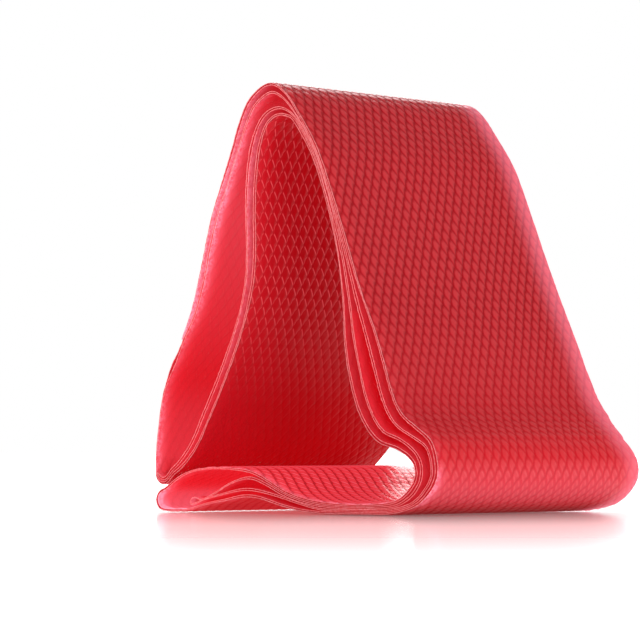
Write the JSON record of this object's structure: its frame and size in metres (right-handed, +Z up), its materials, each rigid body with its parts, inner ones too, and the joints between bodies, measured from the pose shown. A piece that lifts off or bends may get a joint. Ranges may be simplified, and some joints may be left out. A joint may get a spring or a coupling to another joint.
{
  "type": "inner tube",
  "caption": "Light thermoplastic bicycle inner tube, pressed flat and wound into a free-standing three-cornered roll, with a stemmed valve inside.",
  "frame": {"origin": "on the floor under the middle of the roll's bounding box", "axes": "+Z up, the roll's height; +Y across the flat tube's width; +X along the floor from the corner where the two ends meet to the nose"},
  "size_m": [0.0754, 0.064, 0.086],
  "materials": {
    "tube": "translucent, fine embossed diamond lattice",
    "boot": "smooth moulded",
    "stem": "turned",
    "core": "turned",
    "seal": "moulded",
    "cap": "moulded"
  },
  "bodies": {
    "tube": {"inner_tube": "tube", "valve_boot": "boot", "valve_stem": "stem", "core_body": "core", "core_gasket": "seal"},
    "pin": {"core_pin": "core", "core_seal": "seal"},
    "lock": {"core_lock_nut": "core"},
    "cap": {"dust_cap": "cap"},
    "ring": {"rim_nut": "stem"}
  },
  "joints": [
    {"name": "pin_stroke", "type": "slide", "parent": "tube", "child": "pin", "axis": [0, 0, 1], "range_m": [-0.0016, 0]},
    {"name": "lock_travel", "type": "slide", "parent": "pin", "child": "lock", "axis": [0, 0, 1], "range_m": [-0.0015, 0.0009]},
    {"name": "cap_off", "type": "slide", "parent": "tube", "child": "cap", "axis": [0, 0, 1], "range_m": [0, 0.005]},
    {"name": "rim_nut_travel", "type": "slide", "parent": "tube", "child": "ring", "axis": [0, 0, 1], "range_m": [0, 0.01]}
  ]
}
